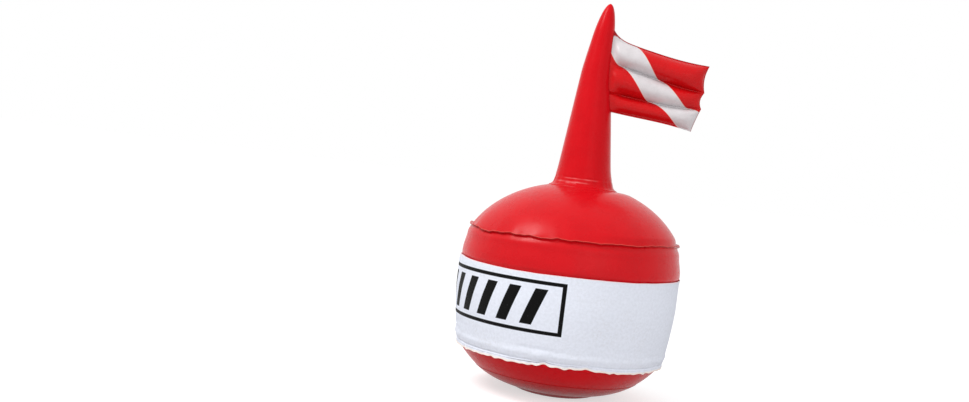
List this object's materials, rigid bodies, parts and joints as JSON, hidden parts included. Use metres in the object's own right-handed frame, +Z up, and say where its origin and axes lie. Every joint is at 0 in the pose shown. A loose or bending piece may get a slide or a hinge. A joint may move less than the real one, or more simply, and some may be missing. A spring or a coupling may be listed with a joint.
{
  "type": "dive flag float",
  "caption": "Inflatable dive flag float: a ball with a wide side band, a tapered mast with a quilted flag, a capped valve, and a ballasted base with a line ring.",
  "frame": {"origin": "on the ball's axis, at the plane that the base's flat foot stands on", "axes": "+Z up along the mast, +X the way the flag points, -Y the front, with the valve at the back on the +Y side"},
  "size_m": [0.3, 0.3043, 0.534],
  "materials": {
    "red_film": "satin welded vinyl film",
    "white_canvas": "coated canvas with a fine weave",
    "flag_film": "satin vinyl film with a white diagonal stripe",
    "clear_vinyl": "soft milky vinyl",
    "base_film": "satin vinyl film",
    "ballast_iron": "plain cast",
    "webbing": "woven polyester tape",
    "ring_steel": "polished stainless wire"
  },
  "bodies": {
    "float": {"upper_dome": "red_film", "red_belt": "red_film", "white_band": "white_canvas", "lower_dome": "red_film", "mast": "red_film", "flag_front_sheet": "flag_film", "flag_rear_sheet": "flag_film", "valve_body": "clear_vinyl", "valve_strap": "clear_vinyl", "ballast_cover": "base_film", "ballast_ring": "ballast_iron", "base_patch": "base_film", "ring_keeper": "webbing"},
    "valve_cap": {"valve_cap": "clear_vinyl"},
    "check_flap": {"check_flap": "clear_vinyl"},
    "line_ring": {"line_ring": "ring_steel"}
  },
  "joints": [
    {"name": "cap_hinge", "type": "hinge", "parent": "float", "child": "valve_cap", "pos_m": [0, 0.1526, 0.158], "axis": [1, 0, 0], "range_deg": [0, 150]},
    {"name": "flap_hinge", "type": "hinge", "parent": "float", "child": "check_flap", "pos_m": [0, 0.1387, 0.153], "axis": [-1, 0, 0], "range_deg": [0, 45]},
    {"name": "ring_swing", "type": "hinge", "parent": "float", "child": "line_ring", "pos_m": [0, 0, 0.00385], "axis": [1, 0, 0], "range_deg": [0, 180]}
  ]
}
